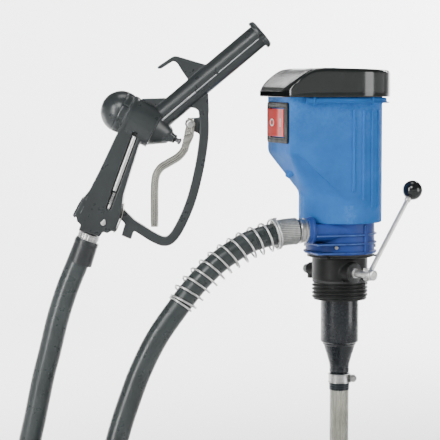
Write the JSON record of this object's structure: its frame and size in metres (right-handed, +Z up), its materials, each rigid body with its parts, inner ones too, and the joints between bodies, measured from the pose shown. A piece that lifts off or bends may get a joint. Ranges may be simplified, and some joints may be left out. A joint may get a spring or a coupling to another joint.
{
  "type": "drum barrel pump",
  "caption": "Electric drum pump with bung thread, hand priming lever, suction hose, and a delivery hose with bend spring ending in a manual nozzle with trigger and guard.",
  "frame": {"origin": "on the pump axis, at the seat of the drum bung thread (underside of the bung seal)", "axes": "+Z up along the pump axis, -X towards the rocker switch and the outlet, Y across; metres"},
  "size_m": [0.6187, 0.3289, 0.6541],
  "materials": {
    "black_gloss": "gloss",
    "black_plastic": "satin",
    "blue_paint": "satin",
    "blue_dark": "satin",
    "red_plastic": "gloss",
    "black_rubber": "satin",
    "hose_grey": "satin",
    "steel": "brushed",
    "chrome": "polished",
    "aluminium": "satin",
    "iron": "satin",
    "brass": "satin",
    "copper": "satin",
    "ptfe": "satin",
    "black_paint": "satin"
  },
  "bodies": {
    "pump": {"motor_cover": "black_gloss", "cover_screws": "steel", "motor_housing": "blue_paint", "cable_gland": "black_plastic", "switch_bezel": "black_plastic", "switch_body": "black_plastic", "stator_core": "iron", "field_coils": "copper", "brush_holders": "brass", "bearing_bridge": "black_plastic", "upper_bearing": "steel", "lower_bearing": "steel", "shaft_seal": "black_rubber", "pump_head": "blue_dark", "head_screws": "steel", "head_gasket": "black_rubber", "bung_adapter": "black_plastic", "bung_thread": "black_plastic", "bung_seal": "black_rubber", "shaft_bushes": "brass", "suction_tube": "black_plastic", "hose_clamp_band": "steel", "hose_clamp_screw": "steel", "suction_collar": "black_plastic", "suction_hose": "hose_grey", "foot_strainer": "black_plastic", "hose_ferrule": "aluminium", "spring_sleeve": "steel", "kink_spring": "steel", "delivery_hose_upper": "black_rubber", "delivery_hose_coil": "black_rubber", "delivery_hose_lower": "black_rubber", "coil_ties": "black_plastic", "swivel_ferrule": "aluminium", "hose_cuff": "black_plastic"},
    "rocker": {"switch_rocker": "red_plastic"},
    "rotor": {"motor_shaft": "steel", "rotor_core": "iron", "commutator": "copper", "cooling_fan": "black_plastic", "impeller": "brass"},
    "lever": {"lever_shaft": "chrome", "lever_rod": "chrome", "lever_ball": "black_gloss", "shaft_cap": "iron", "inner_arm": "steel"},
    "piston": {"piston_rod": "steel", "priming_piston": "ptfe", "piston_cup": "black_rubber"},
    "foot_valve": {"check_ball": "steel"},
    "nozzle": {"nozzle_handle": "black_paint", "valve_cap": "black_paint", "spout": "black_paint", "trigger_guard": "black_paint", "latch_spring": "steel", "valve_spring": "steel", "trigger_pin": "steel"},
    "latch": {"latch_rod": "steel"},
    "trigger": {"trigger": "steel"},
    "valve": {"valve_stem": "steel"}
  },
  "joints": [
    {"name": "rotor_spin", "type": "hinge", "parent": "pump", "child": "rotor", "pos_m": [0, 0, 0.1], "axis": [0, 0, 1], "continuous": true},
    {"name": "rocker_switch", "type": "hinge", "parent": "pump", "child": "rocker", "pos_m": [-0.07281, 0.00024, 0.182], "axis": [0, 0, -1], "range_deg": [0, 10]},
    {"name": "priming_lever", "type": "hinge", "parent": "pump", "child": "lever", "pos_m": [-0.01088, -0.00507, 0.0122], "axis": [-0.4226, 0.9063, 0], "range_deg": [-22, 47]},
    {"name": "piston_slide", "type": "slide", "parent": "pump", "child": "piston", "axis": [0, 0, -1], "range_m": [-0.0044, 0.0093]},
    {"name": "foot_valve_lift", "type": "slide", "parent": "pump", "child": "foot_valve", "axis": [0, 0, 1], "range_m": [0, 0.005]},
    {"name": "nozzle_swivel", "type": "hinge", "parent": "pump", "child": "nozzle", "pos_m": [-0.29104, 0.00941, 0.0622], "axis": [0.3113, -0.0952, 0.9455], "continuous": true},
    {"name": "trigger_squeeze", "type": "hinge", "parent": "nozzle", "child": "trigger", "pos_m": [-0.1847, -0.0231, 0.1818], "axis": [0.2924, 0.9563, 0], "range_deg": [0, 11.5], "stiffness_Nm_per_rad": 2, "springref_deg": -17.19},
    {"name": "valve_lift", "type": "slide", "parent": "nozzle", "child": "valve", "axis": [-0.8521, 0.2605, 0.454], "range_m": [0, 0.0046]},
    {"name": "latch_slide", "type": "slide", "parent": "nozzle", "child": "latch", "axis": [0.3318, -0.1014, 0.9379], "range_m": [0, 0.004], "stiffness_N_per_m": 200, "springref_m": -0.004}
  ],
  "couplings": [
    {"joint": "piston_slide", "follows": "priming_lever", "m_per_rad": 0.0113},
    {"joint": "valve_lift", "follows": "trigger_squeeze", "m_per_rad": 0.0227}
  ]
}
